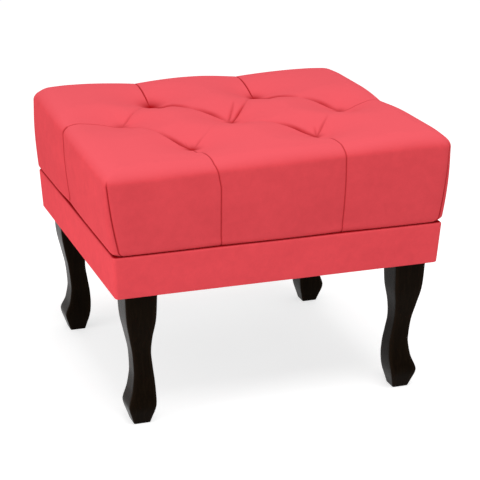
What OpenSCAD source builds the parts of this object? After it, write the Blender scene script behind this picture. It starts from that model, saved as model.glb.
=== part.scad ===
// Upholstered footstool: a tufted cushion on a padded band, on four shaped wooden legs.
// Origin on the floor under the middle, +X to the right along the front, -Y to the front, +Z up.

/* [Body] */
// Width of the upholstered body, side to side
body_w = 500; // [470:5:560]
// Depth of the upholstered body, front to back
body_d = 450; // [430:5:520]
// Height of the band that covers the frame
band_h = 65; // [58:1:80]
// Radius of the band's upright corners
band_r = 6; // [4:1:10]
// Flare of the band on each side, from its hem up to the crease
band_flare = 4; // [0:0.5:6]

/* [Legs] */
// Height of a leg, floor to the underside of the body
leg_h = 206; // [190:2:260]
// Side of a leg's square top
leg_top_w = 48; // [42:1:54]
// Outer side face of a leg's top, in from the body's side
leg_in_x = 16; // [10:1:24]
// Outer front or back face of a leg's top, in from the body's front or back
leg_in_y = 7; // [4:1:14]
// Side of a leg's square sole
sole_w = 25; // [20:1:28]
// Middle of the sole, inward from the leg's axis
sole_in = 3; // [0:0.5:5]
// Height of the toe's furthest point
toe_h = 30; // [28:1:34]
// Reach of the toe outward from the leg's axis
toe_out = 18.6; // [16:0.2:20]
// Height of the heel's furthest point
heel_h = 50; // [46:1:54]
// Reach of the heel inward from the leg's axis
heel_in = 24; // [21:0.5:26]
// Height of the ankle, where the outer face is drawn in most
ankle_h = 80; // [76:1:86]
// Outer face from the leg's axis at the ankle
ankle_out = 8.2; // [6:0.2:10]
// Inner face from the leg's axis at the calf
calf_in = 17.7; // [15:0.1:20]

/* [Cushion] */
// Height of the cushion, from the band to the top of its crown
cushion_h = 141; // [132:1:150]
// Overhang of the cushion past the band at its widest
cushion_over = 11; // [7:1:14]
// Overhang of the cushion just above the crease
crease_over = 4; // [3:0.5:6]
// Tuck of the cover where it turns in at the crease
tuck_in = 5; // [4:0.5:5.5]
// Height above the crease where the cushion is widest
widest_h = 99; // [90:1:105]
// Radius of the cushion's top edge
edge_r = 22; // [18:1:26]
// Radius of the cushion's upright corners
corner_r = 14; // [10:1:20]
// How much lower the crown sits at the front left corner
settle_front_left = 15; // [0:1:16]
// How much lower the crown sits at the front right corner
settle_front_right = 0; // [0:1:16]
// How much lower the crown sits at the back left corner
settle_back_left = 0; // [0:1:16]
// How much lower the crown sits at the back right corner
settle_back_right = 3; // [0:1:16]
// How much further the crown drops into each corner
corner_fall = 4; // [0:1:8]

/* [Tufts] */
// Side tufts, in from the body's sides
tuft_side = 70; // [60:1:80]
// Front and back tufts, in from the body's front and back
tuft_front = 105; // [95:1:115]
// Distance between the two front tufts, and between the two back ones
tuft_pitch = 190; // [170:2:210]
// Depth of a tuft under the crown
tuft_depth = 27; // [20:1:32]
// How far the hollow of a tuft spreads
tuft_w = 100; // [80:5:110]
// Depth of a pleat at its middle
pleat_depth = 11; // [6:1:16]
// How far the hollow of a pleat spreads on each side
pleat_w = 70; // [50:5:85]
// Depth of the seams that run over the edge and down the sides
seam_depth = 6; // [3:0.5:8]
// How far the hollow of a seam spreads on each side
seam_w = 90; // [60:5:95]
// Depth of the slit seam at each upright corner
slit_depth = 3; // [1:0.5:5]
// How far the hollow of a slit seam spreads
slit_w = 15; // [10:1:20]

/* [Frame] */
// Thickness of the four rails
rail_t = 15; // [14:1:18]
// Width of a cross rail
cross_w = 20; // [16:1:24]
// Height of a cross rail
cross_h = 40; // [34:1:44]
// Leg of a corner block's triangle
block_w = 70; // [66:1:80]
// Height of a corner block
block_h = 30; // [26:1:34]
// Thickness of the seat board
board_t = 12; // [10:1:15]
// Hole in the seat board for a tuft's twine
board_hole_d = 9; // [8:0.5:12]

/* [Upholstery] */
// Thickness of the cover
cover_t = 1.2; // [1:0.1:1.6]
// Thickness of the padding between rails and band cover
pad_t = 3; // [2.5:0.5:4]
// Thickness of the dust cover under the frame
dust_t = 0.8; // [0.6:0.1:1]
// Edge of the dust cover, in from the body's sides
dust_in = 5; // [4:1:8]
// Width of the hems turned over the frame and under the seat board
hem_w = 14; // [12:0.5:14]
// Least wadding over the foam, at the tufts
wadding_t = 5; // [4:0.5:7]
// Hole punched in the foam for a tuft
foam_hole_d = 20; // [16:1:26]
// Radius of the upright corners of foam and seat board
foam_r = 20; // [16:1:30]

/* [Fasteners] */
// Diameter of a leg's hanger bolt
bolt_d = 8; // [6:1:8]
// Depth of the hanger bolt in the leg
bolt_in_leg = 30; // [24:1:40]
// Outer diameter of a tee nut's barrel
nut_barrel_d = 10.5; // [10.5:0.5:12]
// Length of a tee nut's barrel
nut_barrel_h = 11; // [8:1:14]
// Diameter of a tee nut's flange
nut_flange_d = 20; // [18:1:22]
// Thickness of a tee nut's flange
nut_flange_t = 1.5; // [1.2:0.1:2]
// Diameter of the wood screws
screw_d = 4; // [3.5:0.5:4.5]
// Diameter of a wood screw's head
screw_head_d = 8; // [7:0.5:9]
// Length of the screws that join the rails
frame_screw_l = 45; // [40:1:60]
// Length of the screws through the corner blocks
block_screw_l = 25; // [22:1:28]
// Length of the screws that hold the seat board
deck_screw_l = 48; // [46:1:50]
// Width of a staple
staple_w = 10; // [8:1:12]
// Length of a staple's legs
staple_l = 8; // [6:1:9]
// Thickness of a staple's wire
staple_t = 1; // [0.8:0.1:1.2]
// Greatest distance between staples
staple_pitch = 62; // [50:1:80]

/* [Tuft ties] */
// Diameter of the tufting twine
twine_d = 2; // [1.6:0.2:2.4]
// Distance between the two strands of a tie
strand_gap = 5; // [4:0.5:5]
// Diameter of the knot that closes a tie
knot_d = 5; // [4:0.5:6]
// Diameter of the washer that a tie pulls against
washer_d = 22; // [18:1:28]
// Thickness of that washer
washer_t = 3; // [2:0.5:4]

/* [Hidden] */
$fn = 32;
// Clearance round bolts, screws, barrels and twine
fit_gap = 0.1;
CORNERS = ["front_left", "front_right", "back_left", "back_right"];
PANELS = ["left_diamond", "right_diamond", "front", "back",
    "front_left", "back_left", "front_right", "back_right"];
PANEL_TINTS = ["lightcoral", "lightcoral", "indianred", "indianred", "coral", "coral", "coral", "coral"];

// Heights of the layers, from the floor up
dust_z = leg_h;
hem_z = dust_z + dust_t;
rail_z = hem_z + cover_t;
crease_z = leg_h + band_h;
rail_top_z = crease_z - cover_t;
board_z = crease_z + cover_t;
foam_z = board_z + board_t;
crown_z = crease_z + cushion_h;
tuft_z = crown_z - tuft_depth;
foam_top_z = tuft_z - cover_t - wadding_t;

// Half sizes of the body, and of the frame inside cover and padding
half_w = body_w / 2;
half_d = body_d / 2;
frame_x = half_w - cover_t - pad_t;
frame_y = half_d - cover_t - pad_t;
inner_x = frame_x - rail_t;
inner_y = frame_y - rail_t;

// Axis of the legs
leg_x = half_w - leg_in_x - leg_top_w / 2;
leg_y = half_d - leg_in_y - leg_top_w / 2;

// Tufts, with the side ones on the middle line
tuft_x1 = tuft_pitch / 2;
tuft_x2 = half_w - tuft_side;
tuft_y1 = half_d - tuft_front;
TUFTS = [
    [-tuft_x1, tuft_y1], [tuft_x1, tuft_y1], [-tuft_x2, 0], [0, 0],
    [tuft_x2, 0], [-tuft_x1, -tuft_y1], [tuft_x1, -tuft_y1]
];
// How far each hand-sewn tuft sits off the regular pattern
TUFT_DRIFT = [[2, 3], [-14, 2], [13, 24], [-1, -4], [3, 7], [-8, -4], [-1, 3]];
// Pleats join two tufts
PLEATS = [[0, 3], [1, 3], [5, 3], [6, 3], [0, 2], [5, 2], [1, 4], [6, 4]];
// Edge seams leave a tuft in one direction
SEAMS = [[0, [0, 1]], [1, [0, 1]], [5, [0, -1]], [6, [0, -1]], [2, [-1, 0]], [4, [1, 0]]];

// Small helpers
function clamp(v, limit) = max(-limit, min(limit, v));
function unit(v) = v / norm(v);
function steps(a, b, n) = [for (k = [0:n - 1]) a + (b - a) * k / n];
function mirrored(half) = concat([for (k = [len(half) - 1:-1:1]) -half[k]], half);
function flipped(t) = [t[2], t[1], t[0]];
function quadrant(k) = [k % 2 == 0 ? -1 : 1, k < 2 ? -1 : 1];

// Carries a shape made for the back right corner to corner k
module at_corner(k) {
    q = quadrant(k);
    mirror([q[0] < 0 ? 1 : 0, 0, 0]) mirror([0, q[1] < 0 ? 1 : 0, 0]) children();
}

// Leg outline: distance from the axis at each height, outer face and inner face
OUTER_FACE = [
    [0, sole_w / 2 - sole_in], [toe_h - 17, toe_out - 4.6], [toe_h - 7, toe_out - 1.2], [toe_h, toe_out],
    [toe_h + 6, toe_out - 1.2], [toe_h + 14, toe_out - 4.3], [toe_h + 22, toe_out - 7],
    [ankle_h - 10, ankle_out + 0.5], [ankle_h, ankle_out],
    [leg_h - 95, leg_top_w / 2 - 13.2], [leg_h - 70, leg_top_w / 2 - 8.2],
    [leg_h - 40, leg_top_w / 2 - 2.4], [leg_h, leg_top_w / 2]
];
INNER_FACE = [
    [0, sole_w / 2 + sole_in], [heel_h - 38, heel_in - 5.4], [heel_h - 28, heel_in - 2.7],
    [heel_h - 16, heel_in - 0.7], [heel_h, heel_in], [heel_h + 12, heel_in - 0.5],
    [heel_h + 22, heel_in - 1.3], [heel_h + 40, heel_in - 3.7], [leg_h - 94, calf_in],
    [leg_h - 70, calf_in + 0.8],
    [leg_h - 40, leg_top_w / 2 - 1.4], [leg_h, leg_top_w / 2]
];
LEG_STEPS = 42;

function slope(pts, k) = let (a = pts[max(k - 1, 0)], b = pts[min(k + 1, len(pts) - 1)])
    (b[1] - a[1]) / (b[0] - a[0]);
function span(pts, z, k = 0) = k >= len(pts) - 2 || z <= pts[k + 1][0] ? k : span(pts, z, k + 1);
// Smooth curve through the outline's points
function smooth(pts, z) =
    let (k = span(pts, z), a = pts[k], b = pts[k + 1], h = b[0] - a[0], t = (z - a[0]) / h)
    let (t2 = t * t, t3 = t2 * t)
    a[1] * (2 * t3 - 3 * t2 + 1) + slope(pts, k) * h * (t3 - 2 * t2 + t)
    + b[1] * (3 * t2 - 2 * t3) + slope(pts, k + 1) * h * (t3 - t2);

module leg_profile() {
    polygon(concat(
        [for (k = [0:LEG_STEPS]) let (z = leg_h * k / LEG_STEPS) [smooth(OUTER_FACE, z), z]],
        [for (k = [LEG_STEPS:-1:0]) let (z = leg_h * k / LEG_STEPS) [-smooth(INNER_FACE, z), z]]
    ));
}

// A leg sawn from a square post: the same outline cut from the front and from the side
module leg(k) {
    color("#2a1a14") at_corner(k) translate([leg_x, leg_y, 0]) difference() {
        intersection() {
            rotate([90, 0, 0]) linear_extrude(2 * leg_top_w, center = true) leg_profile();
            rotate([90, 0, 90]) linear_extrude(2 * leg_top_w, center = true) leg_profile();
        }
        translate([0, 0, leg_h - bolt_in_leg - fit_gap])
            cylinder(h = bolt_in_leg + 1, d = bolt_d + 2 * fit_gap);
    }
}

// Top of the corner blocks, where the tee nuts sit
block_top_z = hem_z + block_h;

module hanger_bolt(k) {
    color("silver") at_corner(k) translate([leg_x, leg_y, leg_h - bolt_in_leg])
        cylinder(h = block_top_z + nut_flange_t - leg_h + bolt_in_leg, d = bolt_d);
}

module tee_nut(k) {
    color("darkgray") at_corner(k) translate([leg_x, leg_y, block_top_z]) difference() {
        union() {
            cylinder(h = nut_flange_t, d = nut_flange_d);
            translate([0, 0, -nut_barrel_h]) cylinder(h = nut_barrel_h, d = nut_barrel_d);
        }
        translate([0, 0, -nut_barrel_h - 1])
            cylinder(h = nut_barrel_h + nut_flange_t + 2, d = bolt_d + 2 * fit_gap);
    }
}

// Countersunk wood screw along +Z, head on top at z = 0, or the hole that it sits in
module screw(length, gap = 0) {
    head_h = (screw_head_d - screw_d) / 2;
    translate([0, 0, -length]) cylinder(h = length, d = screw_d + 2 * gap);
    translate([0, 0, -head_h]) cylinder(h = head_h, d1 = screw_d + 2 * gap, d2 = screw_head_d + 2 * gap);
    if (gap > 0) cylinder(h = half_d, d = screw_head_d + 2 * gap);
}

// Two screws at each end of the front and back rails, into the side rails
module frame_screw_set(gap = 0) {
    for (k = [0:3]) at_corner(k)
        for (share = [0.25, 0.75])
            translate([frame_x - rail_t / 2, frame_y, rail_z + (rail_top_z - rail_z) * share])
                rotate([-90, 0, 0]) screw(frame_screw_l, gap);
}

// Distance of the block screws from the block's thin ends
BLOCK_SCREW_END = 18;
// Distance from the rail's inner face to their heads, sunk into the block
BLOCK_SCREW_SEAT = 13;
// Two screws through each corner block, one into each rail
module block_screw_set(gap = 0) {
    screw_z = hem_z + block_h / 2;
    along = block_w - BLOCK_SCREW_END;
    for (k = [0:3]) at_corner(k) {
        translate([inner_x - along, inner_y - BLOCK_SCREW_SEAT, screw_z])
            rotate([90, 0, 0]) screw(block_screw_l, gap);
        translate([inner_x - BLOCK_SCREW_SEAT, inner_y - along, screw_z])
            rotate([0, -90, 0]) screw(block_screw_l, gap);
    }
}

// Screws up through the cross rails into the seat board
module deck_screw_set(gap = 0) {
    for (x = CROSS_X, y = [-inner_y / 2, inner_y / 2])
        translate([x, y, board_z - cross_h]) mirror([0, 0, 1]) screw(deck_screw_l, gap);
}

// Front rail for side -1, back rail for side 1
module long_rail(side) {
    color("burlywood") difference() {
        translate([-frame_x, side > 0 ? inner_y : -frame_y, rail_z])
            cube([2 * frame_x, rail_t, rail_top_z - rail_z]);
        frame_screw_set(fit_gap);
        block_screw_set(fit_gap);
        dust_staple_set();
    }
}

// Left rail for side -1, right rail for side 1
module side_rail(side) {
    color("burlywood") difference() {
        translate([side > 0 ? inner_x : -frame_x, -inner_y, rail_z])
            cube([rail_t, 2 * inner_y, rail_top_z - rail_z]);
        frame_screw_set(fit_gap);
        block_screw_set(fit_gap);
        dust_staple_set();
    }
}

module cross_rail(x) {
    color("tan") difference() {
        translate([x - cross_w / 2, -inner_y, board_z - cross_h])
            cube([cross_w, 2 * inner_y, cross_h]);
        deck_screw_set(fit_gap);
    }
}

module corner_block(k) {
    color("peru") difference() {
        at_corner(k) translate([inner_x, inner_y, hem_z])
            linear_extrude(block_h) polygon([[0, 0], [-block_w, 0], [0, -block_w]]);
        at_corner(k) translate([leg_x, leg_y, 0]) {
            translate([0, 0, hem_z - 1]) cylinder(h = block_h, d = bolt_d + 4 * fit_gap);
            translate([0, 0, block_top_z - nut_barrel_h - fit_gap])
                cylinder(h = block_h, d = nut_barrel_d + 2 * fit_gap);
        }
        block_screw_set(fit_gap);
    }
}

// Solid of the flared band from its hem to the crease, drawn in by inset on its sides
SLICE = 0.01;
module flared(inset) {
    r = band_r - inset;
    hull() for (sx = [-1, 1], sy = [-1, 1]) {
        translate([sx * (half_w - band_r), sy * (half_d - band_r), hem_z]) cylinder(h = SLICE, r = r);
        translate([sx * (half_w + band_flare - band_r), sy * (half_d + band_flare - band_r), crease_z - SLICE])
            cylinder(h = SLICE, r = r);
    }
}

// The part of a flared solid between the rails' lower and upper edges
module rail_high(inset) {
    intersection() {
        flared(inset);
        translate([-body_w, -body_d, rail_z]) cube([2 * body_w, 2 * body_d, rail_top_z - rail_z]);
    }
}

module band_padding() {
    color("ivory") difference() {
        rail_high(cover_t);
        translate([-frame_x, -frame_y, hem_z]) cube([2 * frame_x, 2 * frame_y, band_h]);
        frame_screw_set(fit_gap);
    }
}

// Band cover: a flared wall with a hem turned under the rails and one over them
module band_cover() {
    color("#c8484e") difference() {
        flared(0);
        rail_high(cover_t);
        translate([hem_w - half_w, hem_w - half_d, hem_z - 1])
            cube([body_w - 2 * hem_w, body_d - 2 * hem_w, band_h + 2]);
        dust_staple_set();
    }
}

module dust_cover() {
    color("#26262a") difference() {
        translate([dust_in - half_w, dust_in - half_d, dust_z])
            cube([body_w - 2 * dust_in, body_d - 2 * dust_in, dust_t]);
        for (k = [0:3]) at_corner(k) translate([leg_x, leg_y, dust_z - 1])
            cylinder(h = dust_t + 2, d = bolt_d + 4 * fit_gap);
        dust_staple_set();
    }
}

// Staple with its legs along +Z, crown under z = 0 along X
module staple() {
    translate([-staple_w / 2, -staple_t / 2, -staple_t]) cube([staple_w, staple_t, staple_t]);
    for (x = [-staple_w / 2, staple_w / 2 - staple_t])
        translate([x, -staple_t / 2, -staple_t]) cube([staple_t, staple_t, staple_l + staple_t]);
}

// Staples round a rectangle by its half sizes, kept clear of its corners
module staple_ring(x, y, z, clear) {
    count_x = ceil((2 * x - 2 * clear) / staple_pitch);
    count_y = ceil((2 * y - 2 * clear) / staple_pitch);
    for (k = [0:count_x], side = [-1, 1])
        translate([-(x - clear) + k * 2 * (x - clear) / count_x, side * y, z]) staple();
    for (k = [0:count_y], side = [-1, 1])
        translate([side * x, -(y - clear) + k * 2 * (y - clear) / count_y, z]) rotate([0, 0, 90]) staple();
}

// Dust cover staples: between the legs' tops and the body's sides nothing is in their way
module dust_staple_set() {
    ring_x = (frame_x + half_w - hem_w) / 2;
    ring_y = (frame_y + half_d - hem_w) / 2;
    leg_clear = leg_in_y + leg_top_w + staple_w;
    staple_ring(ring_x, ring_y, dust_z, leg_clear + pad_t);
}

// Staples spread evenly over a span along X, from a to b
module staple_span(a, b) {
    count = ceil((b - a) / staple_pitch);
    for (k = [0:count - 1]) translate([a + (b - a) * (k + 0.5) / count, 0, 0]) staple();
}

// Cover staples: through the hem of each cushion panel into the seat board, inside the band's own hem
module cover_staple_set() {
    ring_x = (frame_x + half_w) / 2 - hem_w;
    ring_y = (frame_y + half_d) / 2 - hem_w;
    clear = edge_r + staple_w;
    for (side = [-1, 1]) {
        translate([0, side * ring_y, crease_z]) {
            staple_span(clear - ring_x, -tuft_x1);
            staple_span(-tuft_x1, tuft_x1);
            staple_span(tuft_x1, ring_x - clear);
        }
        translate([side * ring_x, 0, crease_z]) rotate([0, 0, 90]) {
            staple_span(clear - ring_y, 0);
            staple_span(0, ring_y - clear);
        }
    }
}

// Grid over the cushion. The top's lines follow the tufts, so pleats run along cell diagonals.
FOLD_CELLS = 4;
BEND = tan(22.5);
X_HALF = concat(steps(0, tuft_x1, FOLD_CELLS), steps(tuft_x1, tuft_x2, FOLD_CELLS),
    steps(tuft_x2, half_w - edge_r, 2), [half_w - edge_r, half_w - edge_r * (1 - BEND), half_w]);
Y_HALF = concat(steps(0, tuft_y1, FOLD_CELLS), steps(tuft_y1, half_d - edge_r, 2),
    [half_d - edge_r, half_d - edge_r * (1 - BEND), half_d]);
X_LINES = mirrored(X_HALF);
Y_LINES = mirrored(Y_HALF);
NX = len(X_LINES) - 1;
NY = len(Y_LINES) - 1;
AROUND = 2 * (NX + NY);
// Height over which the cover is tucked in above the crease
TUCK_H = 9;
// Depth of each ring of side points below the top edge
MIDDLE = 0.62 * cushion_h;
LEVELS = [0, edge_r * (1 - BEND), edge_r, MIDDLE, cushion_h - TUCK_H, cushion_h];
LAST = len(LEVELS) - 1;
HEM_DEPTH = cushion_h + hem_w;
SIDE_WAYS = [[0, -1], [1, 0], [0, 1], [-1, 0]];

// Depth of a hollow at distance d from its line, steepest there like the edge of a pillow
SWELL = 1.7;
function hollow(d, depth, width) = depth * pow(max(0, 1 - d / width), SWELL);

// Power by which pleats and seams rise from a tuft to their own depth
RISE = 2.2;
function pleat_drop(u, a, b) =
    let (t = max(0, min(1, (u - a) * (b - a) / pow(norm(b - a), 2))))
    let (depth = pleat_depth + (tuft_depth - pleat_depth) * pow(abs(2 * t - 1), RISE))
    hollow(norm(u - a - t * (b - a)), depth, pleat_w);

// Run from its tuft over which a seam rises to its own depth
SEAM_RUN = 70;
function seam_drop(u, a, way) =
    let (along = (u - a) * way, across = norm(u - a - along * way))
    let (depth = seam_depth + (tuft_depth - seam_depth) * pow(max(0, 1 - along / SEAM_RUN), RISE))
    along < 0 ? 0 : hollow(across, depth, seam_w);

function tuft_drop(u, a) = hollow(norm(u - a), tuft_depth, tuft_w);

// Depth of the cover under the plain crown at unfolded place u
function cover_drop(u) = max(concat(
    [for (p = PLEATS) pleat_drop(u, TUFTS[p[0]], TUFTS[p[1]])],
    [for (s = SEAMS) seam_drop(u, TUFTS[s[0]], s[1])],
    [for (t = TUFTS) tuft_drop(u, t)]
));

// Weight of a tuft's drift across one direction: 1 at the tuft, 0 at the next row or column
function eased(t) = t * t * (3 - 2 * t);
function pull(v, at, inward, outward) =
    let (past = at == 0 ? abs(v) : sign(at) * v - abs(at))
    at == 0 ? eased(max(0, 1 - past / inward))
    : past < 0 ? eased(max(0, 1 + past / inward))
    : outward > 0 ? eased(max(0, 1 - past / outward))
    : 1;
function pull_x(x, at) = abs(at) == tuft_x1
    ? pull(x, at, tuft_x1, tuft_x2 - tuft_x1) : pull(x, at, at == 0 ? tuft_x1 : tuft_x2 - tuft_x1, 0);
function pull_y(y, at) = pull(y, at, tuft_y1, 0);
function total(list, k = 0) = k == len(list) - 1 ? list[k] : list[k] + total(list, k + 1);
// Nothing drifts towards or away from the rounded border
function held(v, half) = 1 - pow(min(1, abs(v) / (half - edge_r)), 12);
// Plan place of regular place n, moved with the tufts; u is its unfolded place
function drifted(n, u, down) =
    let (d = total([for (k = [0:6]) TUFT_DRIFT[k] * pull_x(u[0], TUFTS[k][0]) * pull_y(u[1], TUFTS[k][1])]))
    n + [d[0] * held(n[0], half_w) * max(0, 1 - down / (2 * edge_r)), d[1] * held(n[1], half_d)];
TUFT_PLACES = [for (t = TUFTS) drifted(t, t, 0)];
// Middle of each cross rail, halfway between the washers on its two sides
CROSS_X = [
    (TUFT_PLACES[2][0] + min(TUFT_PLACES[0][0], TUFT_PLACES[5][0])) / 2,
    (TUFT_PLACES[4][0] + max(TUFT_PLACES[1][0], TUFT_PLACES[6][0])) / 2
];

// Slit at the upright corners, deepest halfway down
function slit(n, down) =
    let (d = half_w - abs(n[0]) + half_d - abs(n[1]))
    hollow(d, slit_depth * sin(180 * down / cushion_h), slit_w);

// Overhang past the band: widest near the top, tucked in at the crease
function overhang(down) =
    let (up = cushion_h - down)
    crease_over + (cushion_over - crease_over) * sin(90 * min(1, up / widest_h))
    - tuck_in * pow(max(0, 1 - up / TUCK_H), 2);

// How much lower the crown sits at plan place n, and the share of its height that is left there
CORNER_SPREAD = 50;
function settle(n) =
    let (across = (n[0] / half_w + 1) / 2, along = (n[1] / half_d + 1) / 2)
    (settle_front_left * (1 - across) + settle_front_right * across) * (1 - along)
    + (settle_back_left * (1 - across) + settle_back_right * across) * along
    + hollow(norm([half_w - abs(n[0]), half_d - abs(n[1])]), corner_fall, CORNER_SPREAD);
function height_left(n) = 1 - settle(n) / cushion_h;

// Share of the rounded border crossed on the top: 0 where the crown ends, 1 at its edge
function border_share(n) = max(0, 1 - (half_w - abs(n[0])) / edge_r, 1 - (half_d - abs(n[1])) / edge_r);

// Seams draw in less towards the crease, where the cover is pulled round the seat board
CREASE_HOLD = 0.3;
function seam_hold(down) = min(1, CREASE_HOLD + (cushion_h - down) / edge_r);

// Carries the end of a line from ring to goal and leaves its middle in place
function spread(v, ring, goal) = v + sign(v) * (goal - ring) * pow(abs(v) / ring, 4);

// Point of the cover: n its regular plan place, u its unfolded place, inset into the cover
function cover_point(n, u, down, inset) =
    let (share = down > 0 ? 1 : border_share(n))
    let (tilt = down > 0 ? 90 - atan(max(0, edge_r - down) / edge_r) : atan(share))
    let (ring = [half_w, half_d] - edge_r * (1 - share) * [1, 1])
    let (goal = [half_w, half_d] + (overhang(down) * sin(tilt) - edge_r * (1 - sin(tilt))) * [1, 1])
    let (w = drifted(n, u, down), q = [spread(w[0], ring[0], goal[0]), spread(w[1], ring[1], goal[1])])
    let (r = max(1, corner_r * sin(tilt)), core = [clamp(q[0], goal[0] - r), clamp(q[1], goal[1] - r)])
    let (out = share > 0 ? unit(q - core) : [0, 0], plan = share > 0 ? core + r * out : q)
    let (z = crease_z + (cushion_h - max(down, edge_r * (1 - cos(tilt)))) * height_left(n))
    let (drop = cover_drop(u) * (1 - settle(n) / tuft_depth))
    let (draw = inset + drop * seam_hold(down) + (down > 0 ? slit(n, down) : 0))
    [plan[0] - draw * sin(tilt) * out[0], plan[1] - draw * sin(tilt) * out[1], z - draw * cos(tilt)];

// Grid place of point p of the ring round the top, from the front left corner on
function ring_ij(p) =
    p < NX ? [p, 0]
    : p < NX + NY ? [NX, p - NX]
    : p < 2 * NX + NY ? [2 * NX + NY - p, NY]
    : [0, AROUND - p];
function ring_xy(p) = let (g = ring_ij(p % AROUND)) [X_LINES[g[0]], Y_LINES[g[1]]];
function ring_side(p) = p < NX ? 0 : p < NX + NY ? 1 : p < 2 * NX + NY ? 2 : 3;
function unfolded(p, side, down) = ring_xy(p) + down * SIDE_WAYS[side];

// Ring of plan points on a smaller rounded rectangle, one for each ring point
function plan_ring(x, y, r) = [
    for (p = [0:AROUND - 1])
        let (n = ring_xy(p), s = [n[0] * x / half_w, n[1] * y / half_d])
        let (q = [clamp(s[0], x - r), clamp(s[1], y - r)])
        q + r * unit(s - q)
];
FOAM_RING = plan_ring(frame_x, frame_y, foam_r);
HEM_RING = plan_ring(frame_x - hem_w, frame_y - hem_w, foam_r - hem_w);

// Points of the cover's outer face for inset 0, and of its inner face for inset cover_t
function cover_points(inset) = concat(
    [for (y = Y_LINES, x = X_LINES) cover_point([x, y], [x, y], 0, inset)],
    [for (m = [1:LAST], p = [0:AROUND - 1])
        let (n = ring_xy(p), down = LEVELS[m] - (m == LAST ? inset / height_left(n) : 0))
        cover_point(n, unfolded(p, ring_side(p), down), down, inset)],
    [for (h = HEM_RING) [h[0], h[1], crease_z + inset]]
);
OUTER_POINTS = cover_points(0);
INNER_POINTS = cover_points(cover_t);
COUNT = len(OUTER_POINTS);

function top_index(i, j) = j * (NX + 1) + i;
function ring_index(m, p) =
    let (g = ring_ij(p % AROUND))
    m == 0 ? top_index(g[0], g[1]) : (NX + 1) * (NY + 1) + (m - 1) * AROUND + p % AROUND;

// A corner of a triangle is its point's index and its unfolded place
function top_corner(i, j) = [top_index(i, j), [X_LINES[i], Y_LINES[j]]];
function side_corner(m, p, side) = [ring_index(m, p), unfolded(p, side, m > LAST ? HEM_DEPTH : LEVELS[m])];

// True where the pleat through a cell of the top runs up to the right
function rises(x, y) = (x < -tuft_x1 || (x > 0 && x < tuft_x1)) == (y > 0);
function cell(a, b, c, d, rising) = rising ? [[a, b, c], [a, c, d]] : [[a, b, d], [b, c, d]];

TOP_TRIANGLES = [
    for (j = [0:NY - 1], i = [0:NX - 1])
        let (x = (X_LINES[i] + X_LINES[i + 1]) / 2, y = (Y_LINES[j] + Y_LINES[j + 1]) / 2)
        each cell(top_corner(i, j), top_corner(i + 1, j), top_corner(i + 1, j + 1), top_corner(i, j + 1),
            rises(x, y))
];
function side_triangles(last) = [
    for (m = [0:last - 1], p = [0:AROUND - 1])
        let (s = ring_side(p))
        each cell(side_corner(m + 1, p, s), side_corner(m + 1, p + 1, s), side_corner(m, p + 1, s),
            side_corner(m, p, s), true)
];
COVER_TRIANGLES = concat(TOP_TRIANGLES, side_triangles(LAST + 1));

// Number of the cover panel at unfolded place u, or -1 past the hem
function panel_at(u) =
    let (x = abs(u[0]), y = abs(u[1]))
    let (half = x < tuft_x1 ? tuft_y1 * x / tuft_x1 : tuft_y1 * (tuft_x2 - x) / (tuft_x2 - tuft_x1))
    x > half_w + HEM_DEPTH || y > half_d + HEM_DEPTH ? -1
    : y < half ? (u[0] < 0 ? 0 : 1)
    : x < tuft_x1 ? (u[1] < 0 ? 2 : 3)
    : (u[0] < 0 ? 4 : 6) + (u[1] < 0 ? 0 : 1);

function on_panel(t, k) = panel_at((t[0][1] + t[1][1] + t[2][1]) / 3) == k;
// True where the far side of edge a to b is another panel or the end of the cover
function is_seam(a, b, k) =
    let (way = b[1] - a[1], out = unit([way[1], -way[0]]))
    panel_at((a[1] + b[1]) / 2 + 0.01 * out) != k;

function panel_faces(k) =
    let (mine = [for (t = COVER_TRIANGLES) if (on_panel(t, k)) t])
    let (outer = [for (t = mine) [t[0][0], t[1][0], t[2][0]]])
    let (inner = [for (f = outer) flipped(f) + [COUNT, COUNT, COUNT]])
    let (walls = [
        for (t = mine, e = [0:2])
            let (a = t[e], b = t[(e + 1) % 3])
            if (is_seam(a, b, k))
                each [[b[0], a[0], a[0] + COUNT], [b[0], a[0] + COUNT, b[0] + COUNT]]
    ])
    concat(outer, inner, walls);

// One sewn panel of the cushion's cover, with its share of the hem
module seat_cover(k) {
    color(PANEL_TINTS[k]) difference() {
        polyhedron(concat(OUTER_POINTS, INNER_POINTS), [for (f = panel_faces(k)) flipped(f)]);
        cover_staple_set();
    }
}

// Wadding between cover and foam, open below where the foam and the seat board fill it
module seat_wadding() {
    top_count = (NX + 1) * (NY + 1);
    skin_count = top_count + LAST * AROUND;
    skin = [for (k = [0:skin_count - 1]) INNER_POINTS[k]];
    low_ring = [for (f = FOAM_RING) [f[0], f[1], board_z]];
    high_ring = [for (f = FOAM_RING) [f[0], f[1], foam_top_z]];
    low = skin_count;
    high = low + AROUND;
    middle = high + AROUND;
    skin_faces = [for (t = concat(TOP_TRIANGLES, side_triangles(LAST))) [t[0][0], t[1][0], t[2][0]]];
    inner_faces = [
        for (p = [0:AROUND - 1])
            let (q = (p + 1) % AROUND, a = ring_index(LAST, p), b = ring_index(LAST, q))
            each [
                [b, a, low + p], [b, low + p, low + q],
                [low + q, low + p, high + p], [low + q, high + p, high + q],
                [high + q, high + p, middle]
            ]
    ];
    color("white") difference() {
        polyhedron(concat(skin, low_ring, high_ring, [[0, 0, foam_top_z]]),
            [for (f = concat(skin_faces, inner_faces)) flipped(f)]);
        for (t = TUFT_PLACES) translate([t[0], t[1], foam_top_z - 1])
            cylinder(h = tuft_depth, d = board_hole_d);
    }
}

module seat_foam() {
    color("khaki") difference() {
        translate([0, 0, foam_z]) linear_extrude(foam_top_z - foam_z) polygon(FOAM_RING);
        for (t = TUFT_PLACES) translate([t[0], t[1], foam_z - 1])
            cylinder(h = foam_top_z - foam_z + 2, d = foam_hole_d);
    }
}

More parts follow.
